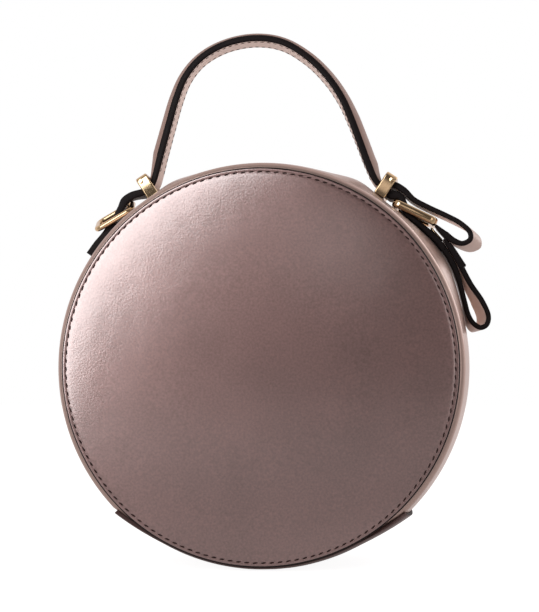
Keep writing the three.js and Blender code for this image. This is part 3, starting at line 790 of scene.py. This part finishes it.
def make_strap(name, strap, node, top="strap", lining="lining"):
    turn = [(share, 1, 0, 0) for share in FACE_SHARES]
    turn += [(share, 1, inset, bulge) for share, inset, bulge in REAR_EDGE]
    turn += [(share, -1, inset, bulge) for share, inset, bulge in reversed(REAR_EDGE)]
    turn += [(share, -1, 0, 0) for share in reversed(FACE_SHARES)]
    turn += [(1 - share, -1, inset, -bulge) for share, inset, bulge in REAR_EDGE]
    turn += [(1 - share, 1, inset, -bulge) for share, inset, bulge in reversed(REAR_EDGE)]
    sides = np.stack([strap.at(*spot)[0] for spot in turn], 1)
    stations, count = sides.shape[:2]
    flat, edge = len(FACE_SHARES), 2 * len(REAR_EDGE)
    painted = {*range(flat - 1, flat + edge), *range(2 * flat + edge - 1, count)}
    sorts = [PAINTED_FACE if j in painted else TOP_FACE if j < flat else PLAIN_FACE for j in range(count)]
    faces = []
    for i in range(stations - 1):
        faces += band(i * count, (i + 1) * count, count)
    faces.append(list(range(count)))
    faces.append([(stations - 1) * count + j for j in reversed(range(count))])
    slots = sorts * (stations - 1) + [PAINTED_FACE, PAINTED_FACE]
    # the lining tone on the under or inner side is partly painted light, a paler copy of the strap leather
    materials = [leathers[lining], painted_edge, leathers[top]]
    return settle(make_piece(name, sides.reshape(-1, 3), faces, materials, slots), "strap_leather", node)


# %% Handle, tabs, loops and keeper
HANDLE_WALL, HANDLE_DOME = 2.8, 2.7
handle_strap = Strap(HANDLE_ROWS, ("pad", "twist"), wall=HANDLE_WALL, twist=HANDLE_TWIST, dome=HANDLE_DOME)
tab_left_strap = Strap(TAB_LEFT_ROWS, ("wall", "twist"), twist=TAB_LEFT_TWIST)
tab_right_strap = Strap(TAB_RIGHT_ROWS, ("wall",))
upper_loop_strap = Strap(UPPER_LOOP_ROWS, ("wall", "twist"), twist=UPPER_LOOP_TWIST)
lower_loop_strap = Strap(LOWER_LOOP_ROWS, ("wall", "twist"), twist=LOWER_LOOP_TWIST)
keeper_strap = Strap(KEEPER_ROWS, ("wall",))
handle_leather = make_strap("handle_leather", handle_strap, "handle", top="cover")
make_strap("tab_left_leather", tab_left_strap, "tab_left", top="tab", lining="tab")
make_strap("tab_right_leather", tab_right_strap, "tab_right", top="tab", lining="tab")
make_strap("upper_loop_leather", upper_loop_strap, "strap_upper_loop")
# the lower loop's inner face is its upper side, so it takes the paler lining tone there: painted light
make_strap("lower_loop_leather", lower_loop_strap, "strap_lower_loop", top="lining", lining="strap")
make_strap("keeper_leather", keeper_strap, "strap_keeper")

# %% [markdown]
# The handle's padded cover is turned over its core and the pale lining is sewn on below, so two rows of
# stitches show on the lining alone. The tabs are sewn down on the hoop with a short row across each end.
# The straps already know their own points, so the run tree gets its lines from them.

# %% Strap stitches
STRAP_THREAD = {"Pitch": 3.4, "Length": 2.4, "Width": 0.85, "Thickness": 0.8, "Slant": math.radians(6)}
STITCH_INSET = 2.1
STITCH_SINK = 0.12
STITCH_SHARE = STITCH_INSET / STRAP_WIDTH
UNSEWN_STATIONS = 12  # at either end of the handle
END_STATION, END_POINTS = -5, 12  # where a tab's row lies, and how many points draw it


def strap_seam(strap, side, share):
    spots, normals = strap.at(share, side, STITCH_SINK)
    sewn = slice(UNSEWN_STATIONS, -UNSEWN_STATIONS)
    return spots[sewn], side * normals[sewn], False


def end_seam(strap, side):
    shares = np.linspace(STITCH_SHARE, 1 - STITCH_SHARE, END_POINTS)
    rows = [strap.at(share, side, STITCH_SINK) for share in shares]
    ups = [side * normals[END_STATION] for _, normals in rows]
    return [spots[END_STATION] for spots, _ in rows], ups, False


handle_lines = [strap_seam(handle_strap, -1, share) for share in (STITCH_SHARE, 1 - STITCH_SHARE)]
tab_lines = [end_seam(tab_left_strap, -1), end_seam(tab_right_strap, 1)]
for name, lines in (("handle_stitches", handle_lines), ("tab_stitches", tab_lines)):
    settle(lay_run(name, stitch_tree, lines, STRAP_THREAD, dark_thread), "strap_leather")

# %% [markdown]
# ## Fittings
# The fittings are cast and plated. The ring and the buckle are bars bent into frames: a round bar with
# wide corners for the ring, a squarer bar for the buckle. A torus could be pulled into shape for each,
# but one function with named sizes keeps both frames even.

# %% Ring and buckle
BEND_STEPS, BAR_SIDES = 9, 20
RING = {
    "ends": [(-71.2, 86.2), (-91.8, 74.2)],
    "long": 24, "wide": 25, "bar": 3, "corner": 5, "lean": -17.5, "power": 2,
}
BUCKLE = {
    "ends": [(67.5, 85.4), (87.9, 75.5)],
    "long": 25.4, "wide": 23.8, "bar": 4.3, "corner": 4.2, "lean": 0, "power": 4,
}


def bar_frame(ends, long, wide, bar, corner, lean, power):
    """Points and faces of a closed frame whose bar section is a rounded square of the given power."""
    start, finish = (np.array([x, 0, z]) for x, z in ends)
    middle = (start + finish) / 2
    along = (finish - start) / np.linalg.norm(finish - start)
    upright = np.array([-along[2], 0, along[0]])
    tilt = math.radians(lean)
    across = np.array([0, 1, 0]) * math.cos(tilt) + upright * math.sin(tilt)
    up = np.cross(across, along)
    path = []
    for quarter in range(4):
        to_end = (long / 2 - corner) * (1 if quarter in (0, 3) else -1)
        to_side = (wide / 2 - corner) * (1 if quarter < 2 else -1)
        for i in range(BEND_STEPS + 1):
            turn = (quarter + i / BEND_STEPS) * math.pi / 2
            away = along * math.cos(turn) + across * math.sin(turn)
            path.append((middle + along * to_end + across * to_side + away * (corner - bar / 2), away))
    points = []
    for spot, away in path:
        for j in range(BAR_SIDES):
            turn = 2 * math.pi * j / BAR_SIDES
            c, s = math.cos(turn), math.sin(turn)
            reach = bar / 2 / (abs(c) ** power + abs(s) ** power) ** (1 / power)
            points.append(spot + away * c * reach + up * s * reach)
    faces = []
    for i in range(len(path)):
        faces += band(i * BAR_SIDES, (i + 1) % len(path) * BAR_SIDES, BAR_SIDES)
    return points, faces


for name, sizes, node in (("ring_gold", RING, "ring_left"), ("buckle_gold", BUCKLE, "buckle_right")):
    settle(make_piece(name, *bar_frame(**sizes), [pale_gold]), "gold_metal", node)

# %% [markdown]
# The buckle's prong is a thin wire with a blunt tip, and the brackets' pins are low round heads. Both are
# lathe work, so one helper turns a short profile round any axis. A scaled cylinder would lack the tips.

# %% Round bodies turned on an axis, and the prong
NEARLY_ALONG = 0.9  # cosine beyond which an axis counts as lying in depth
PRONG_START, PRONG_END = np.array([86.2, 0, 73]), np.array([92.4, 0, 66.2])


def turned(profile, start, axis, sides=BAR_SIDES):
    """A closed body: profile rows are distance along the axis and radius, from first to last point."""
    axis = np.array(axis, float) / np.linalg.norm(axis)
    aside = np.cross(axis, (0, 1, 0) if abs(axis[1]) < NEARLY_ALONG else (1, 0, 0))
    aside /= np.linalg.norm(aside)
    other = np.cross(axis, aside)
    points = [start + axis * profile[0][0]]
    for distance, radius in profile[1:-1]:
        for j in range(sides):
            turn = 2 * math.pi * j / sides
            away = aside * math.cos(turn) + other * math.sin(turn)
            points.append(start + axis * distance + away * radius)
    points.append(start + axis * profile[-1][0])
    rings = len(profile) - 2
    last = 1 + (rings - 1) * sides
    faces = [(0, 1 + j, 1 + (j + 1) % sides) for j in range(sides)]
    for i in range(rings - 1):
        faces += band(1 + i * sides, 1 + (i + 1) * sides, sides)
    faces += [(len(points) - 1, last + (j + 1) % sides, last + j) for j in range(sides)]
    return points, faces


prong_run = PRONG_END - PRONG_START
prong_long = float(np.linalg.norm(prong_run))
prong_root = [(0, 0), (0, 0.45), (0.25, 0.6)]
prong_tip = [(prong_long - 1.2, 0.52), (prong_long - 0.3, 0.38), (prong_long, 0.2), (prong_long, 0)]
prong = make_piece("prong_gold", *turned(prong_root + prong_tip, PRONG_START, prong_run), [pale_gold])
settle(prong, "gold_metal", "buckle_prong")

# %% [markdown]
# Both brackets are staples: plates with a window for the strap and a small pin head on each face. Cutting
# the window with a Boolean modifier would leave long thin faces, so two outlines are joined instead, and
# a Bevel modifier softens the edges.

# %% Brackets
BRACKET_ANGLE = 33.5
BRACKET_FOOT, BRACKET_TOP, BRACKET_SILL, BRACKET_HEAD = 107.1, 120.2, 108.6, 117.8
BRACKET_LENGTH = 6.4
BRACKET_HALF_WIDTH, BRACKET_HALF_WINDOW = 11.5, 8.9
TOP_CORNER, FOOT_CORNER, SILL_CORNER, HEAD_CORNER = 2.8, 0.4, 0.4, 0.6
CORNER_STEPS = 6
BEVEL_WIDTH, BEVEL_STEPS, BEVEL_ANGLE = 1.1, 4, 50


def rounded_outline(half, low, high, low_corner, high_corner):
    corners = [(half, high, high_corner), (-half, high, high_corner)]
    corners += [(-half, low, low_corner), (half, low, low_corner)]
    outline = []
    for quarter, (x, z, corner) in enumerate(corners):
        middle = (x - math.copysign(corner, x), z + (corner if z == low else -corner))
        for i in range(CORNER_STEPS + 1):
            turn = (quarter + i / CORNER_STEPS) * math.pi / 2
            outline.append((middle[0] + corner * math.cos(turn), middle[1] + corner * math.sin(turn)))
    return outline


def drum_axes(angle):
    """The directions outward from the drum and along its hoop."""
    turn = math.radians(angle)
    outward = np.array([math.sin(turn), 0, math.cos(turn)])
    return outward, np.array([math.cos(turn), 0, -math.sin(turn)])


def make_bracket(name, node, side):
    outward, along = drum_axes(BRACKET_ANGLE * side)
    outer = rounded_outline(BRACKET_HALF_WIDTH, BRACKET_FOOT, BRACKET_TOP, FOOT_CORNER, TOP_CORNER)
    window = rounded_outline(BRACKET_HALF_WINDOW, BRACKET_SILL, BRACKET_HEAD, SILL_CORNER, HEAD_CORNER)
    points = []
    for place in (-BRACKET_LENGTH / 2, BRACKET_LENGTH / 2):
        for outline in (outer, window):
            points += [outward * high + along * place + np.array([0, deep, 0]) for deep, high in outline]
    count = len(outer)
    a, b, c, d = (start * count for start in range(4))
    faces = []
    for i in range(count):
        k = (i + 1) % count
        faces += [(a + i, a + k, b + k, b + i), (c + k, c + i, d + i, d + k)]
        faces += [(a + k, a + i, c + i, c + k), (b + i, b + k, d + k, d + i)]
    staple = make_piece(name, points, faces, [pale_gold])
    bevel = staple.modifiers.new("soft_edges", "BEVEL")
    bevel.width = BEVEL_WIDTH * MM
    bevel.segments = BEVEL_STEPS
    bevel.harden_normals = True
    bevel.limit_method = "ANGLE"
    bevel.angle_limit = math.radians(BEVEL_ANGLE)
    bake_modifiers(staple)
    settle(staple, "gold_metal", node)


# %% Pin heads, and both brackets
PIN_HEIGHT, PIN_ASIDE = 117.4, 1.2
PIN_LEAN_LEFT, PIN_LEAN_UP = 0.1, 0.06
PIN_SIDES = 16
# distance out of the bracket's face, radius
PIN_ROWS = [(-0.8, 0), (-0.8, 1.3), (0.25, 1.3), (0.4, 1.2), (0.46, 0.9), (0.48, 0)]


def make_pins(name, side):
    outward, along = drum_axes(BRACKET_ANGLE * side)
    points, faces = [], []
    for face in (-1, 1):
        spot = outward * PIN_HEIGHT + along * side * PIN_ASIDE + np.array([0, face * BRACKET_HALF_WIDTH, 0])
        axis = (-PIN_LEAN_LEFT, face, PIN_LEAN_UP)
        head_points, head_faces = turned(PIN_ROWS, spot, axis, PIN_SIDES)
        faces += [tuple(index + len(points) for index in corners) for corners in head_faces]
        points += head_points
    settle(make_piece(name, points, faces, [pale_gold]), "gold_metal")


for word, side in (("left", -1), ("right", 1)):
    make_bracket(f"bracket_{word}_gold", f"bracket_{word}", side)
    make_pins(f"bracket_{word}_pins", side)

# %% [markdown]
# ## The zip
# The closure is hidden in the photograph, so it is a plain zip behind the handle: a woven tape under the
# slot, two rows of metal teeth, and a slider with a small pull. The tape is a shell like the hoop, and
# the run tree that sews the discs lays the teeth too, with a box in place of the stitch.

# %% Zip tape and teeth
ZIP_TAPE, ZIP_TAPE_WALL = 14, 1
TAPE_INSET, TAPE_STEP, TAPE_COLUMNS = 0.3, 1.2, 9
TOOTH = {"Pitch": 1.9, "Length": 1.0, "Width": 3.2, "Thickness": 1.6, "Slant": 0}
TOOTH_RISE, TOOTH_STOP, TOOTH_POINTS = 0.7, 1, 160
# distance from the zip's middle, degrees before the first tooth; the rows lie half a pitch apart
TOOTH_ROWS = [(-1.1, 0.5), (1.1, 1.01)]
zip_angles = np.arange(-ZIP_SPREAD + TAPE_INSET, ZIP_SPREAD, TAPE_STEP)
tape_depths = ZIP_DEPTH + np.linspace(-ZIP_TAPE / 2, ZIP_TAPE / 2, TAPE_COLUMNS)


def under_hoop(angle, depth):
    return RIM_RADIUS + crown_at(angle, depth) - GUSSET_WALL - GAP


def tape_line(angle, inner):
    shrink = ZIP_TAPE_WALL if inner else 0
    return [drum_point(angle, under_hoop(angle, depth) - shrink, depth) for depth in tape_depths]


def tooth_line(offset, first):
    angles = np.linspace(-ZIP_SPREAD + first, ZIP_SPREAD - TOOTH_STOP, TOOTH_POINTS)
    spots = [drum_point(a, under_hoop(a, ZIP_DEPTH) + TOOTH_RISE, ZIP_DEPTH + offset) for a in angles]
    return spots, [drum_point(a, 1, 0) for a in angles], False


settle(make_shell("zip_tape", tape_line, zip_angles, [woven_tape]), "zip_cloth", "zip_closure")
tooth_lines = [tooth_line(*row) for row in TOOTH_ROWS]
settle(lay_run("zip_teeth", tooth_tree, tooth_lines, TOOTH, pale_gold), "gold_metal")

# %% Zip slider and pull
SLIDER_ANGLE, SLIDER_LENGTH, SLIDER_WIDTH, SLIDER_HEIGHT = -68, 9, 8, 3
PULL_LENGTH, PULL_WIDTH, PULL_WALL = 20, 5, 1.4
SLIDER_GAP, PULL_GAP = 0.6, 0.2
SLIDER_CORNER, PULL_CORNER = 1.2, 0.6


def plate(half, low, high, start, finish, corner):
    """A rounded plate: its outline lies across the hoop, and it runs along it from start to finish."""
    outward, along = drum_axes(SLIDER_ANGLE)
    outline = rounded_outline(half, low, high, corner, corner)
    points = []
    for run in (start, finish):
        points += [outward * z + along * run + np.array([0, ZIP_DEPTH + y, 0]) for y, z in outline]
    count = len(outline)
    return points, band(0, count, count) + [tuple(range(count)), tuple(reversed(range(count, 2 * count)))]


slider_low = RIM_RADIUS + crown_at(SLIDER_ANGLE, ZIP_DEPTH) + SLIDER_GAP
slider_high = slider_low + SLIDER_HEIGHT
slider_half = SLIDER_LENGTH / 2
pull_low = slider_high + PULL_GAP
# half width, low, high, start, finish, corner
PLATES = {
    "zip_slider": (SLIDER_WIDTH / 2, slider_low, slider_high, -slider_half, slider_half, SLIDER_CORNER),
    "zip_pull": (PULL_WIDTH / 2, pull_low, pull_low + PULL_WALL, -PULL_LENGTH, 0, PULL_CORNER),
}
for name, sizes in PLATES.items():
    settle(make_piece(name, *plate(*sizes), [pale_gold]), "gold_metal")

# %% [markdown]
# ## Floor and light
# The bag stands on a white table in a bright, slightly rosy room. A plain white floor would grey off in
# the shade, so this one glows: the camera sees it nearly white, while the bag gets a weak glow from the
# front and a stronger one from behind.

# %% Floor
FLOOR_SIZE = 6
FLOOR_PATCHES_PER_METRE = 3
FLOOR_DARK, FLOOR_LIGHT = 0.34, 0.36
FLOOR_ROUGHNESS = 0.9
FLOOR_GLOW_FRONT, FLOOR_GLOW_BEHIND, FLOOR_SEEN = 0.085, 0.6, 0.92
GLOW_CHANGES = 0.2  # metres before and behind the bag's middle
ROOM_TINT, WHITE = (1, 0.9, 0.88), (1, 1, 1)


def glowing_floor():
    material, tree, shader = new_material("pale_floor")
    noise = object_noise(tree, FLOOR_PATCHES_PER_METRE)
    tone = colour_between(tree, noise, [FLOOR_DARK] * 3, [FLOOR_LIGHT] * 3)
    set_inputs(shader, {"Base Color": tone, "Roughness": FLOOR_ROUGHNESS, "Specular IOR Level": 0})
    depth = add_node(tree, "ShaderNodeSeparateXYZ", {"Vector": object_place(tree)}).outputs["Y"]
    glow = value_between(tree, depth, FLOOR_GLOW_FRONT, FLOOR_GLOW_BEHIND, -GLOW_CHANGES, GLOW_CHANGES)
    seen = add_node(tree, "ShaderNodeLightPath").outputs["Is Camera Ray"]
    shown = value_between(tree, seen, glow, FLOOR_SEEN, 0, 1)
    hue = colour_between(tree, seen, ROOM_TINT, WHITE)
    set_inputs(shader, {"Emission Strength": shown, "Emission Color": hue})
    return material


half = FLOOR_SIZE / 2
floor_corners = [(-half, -half, 0), (half, -half, 0), (half, half, 0), (-half, half, 0)]
floor_mesh = bpy.data.meshes.new("floor")
floor_mesh.from_pydata(floor_corners, [], [(0, 1, 2, 3)])
floor_mesh.materials.append(glowing_floor())
floor = add_object("floor", floor_mesh)
print("floor:", FLOOR_SIZE, "m wide")

# %% [markdown]
# The light of the room is strongest from behind, which lights the hoop's side, and the camera sees the
# room white. A photograph of a room could light the bag, but lamps can be moved one by one: a soft key
# lamp at the upper left makes the broad highlight on the disc, a weak fill lamp stands on the right, a
# small lamp makes the gold sparkle, and a rim lamp behind brightens the hoop's upper right.

# %% Room light
ROOM_FRONT, ROOM_BEHIND = 0.1, 0.8
ROOM_CHANGES = (-0.75, 0.15)  # depth of the direction, from front to behind


def make_room():
    world = bpy.data.worlds.new("room")
    bpy.context.scene.world = world
    world.use_nodes = True
    tree = world.node_tree
    tree.nodes.clear()
    direction = add_node(tree, "ShaderNodeTexCoord").outputs["Generated"]
    depth = add_node(tree, "ShaderNodeSeparateXYZ", {"Vector": direction}).outputs["Y"]
    strength = value_between(tree, depth, ROOM_FRONT, ROOM_BEHIND, *ROOM_CHANGES)
    lit = add_node(tree, "ShaderNodeBackground", {"Color": (*ROOM_TINT, 1), "Strength": strength})
    shown = add_node(tree, "ShaderNodeBackground", {"Color": (*WHITE, 1)})
    seen = add_node(tree, "ShaderNodeLightPath").outputs["Is Camera Ray"]
    inputs = {"Fac": seen, 1: lit.outputs["Background"], 2: shown.outputs["Background"]}
    mix = add_node(tree, "ShaderNodeMixShader", inputs)
    add_node(tree, "ShaderNodeOutputWorld", {"Surface": mix.outputs["Shader"]})
    return world


print("world:", make_room().name)

# %% Lamps
BAG_MIDDLE = (0, 0, DISC_HEIGHT * MM)
# place and size in metres, watts, roll in degrees, tint
LAMPS = {
    "key_lamp": ((-0.585, -1.04, 0.46), (0.6, 1), 7.6, -35, WHITE),
    "fill_lamp": ((0.7, -1, 0.25), (0.5, 0.6), 1, 0, ROOM_TINT),
    "small_lamp": ((0.04, -1.21, 0.35), (0.2, 0.16), 0.07, 0, ROOM_TINT),
    "rim_lamp": ((0.75, 0.6, 0.6), (0.8, 0.8), 2, 0, WHITE),
}


def add_lamp(name, place, size, watts, roll, tint):
    data = bpy.data.lights.new(name, "AREA")
    data.shape = "RECTANGLE"
    data.size, data.size_y = size
    data.energy = watts
    data.color = tint
    lamp = add_object(name, data)
    lamp.location = place
    facing = (Vector(BAG_MIDDLE) - Vector(place)).to_track_quat("-Z", "Y")
    lamp.rotation_euler = (facing @ Quaternion((0, 0, 1), math.radians(roll))).to_euler()


for name, row in LAMPS.items():
    add_lamp(name, *row)
bpy.context.scene.view_settings.view_transform = "Standard"
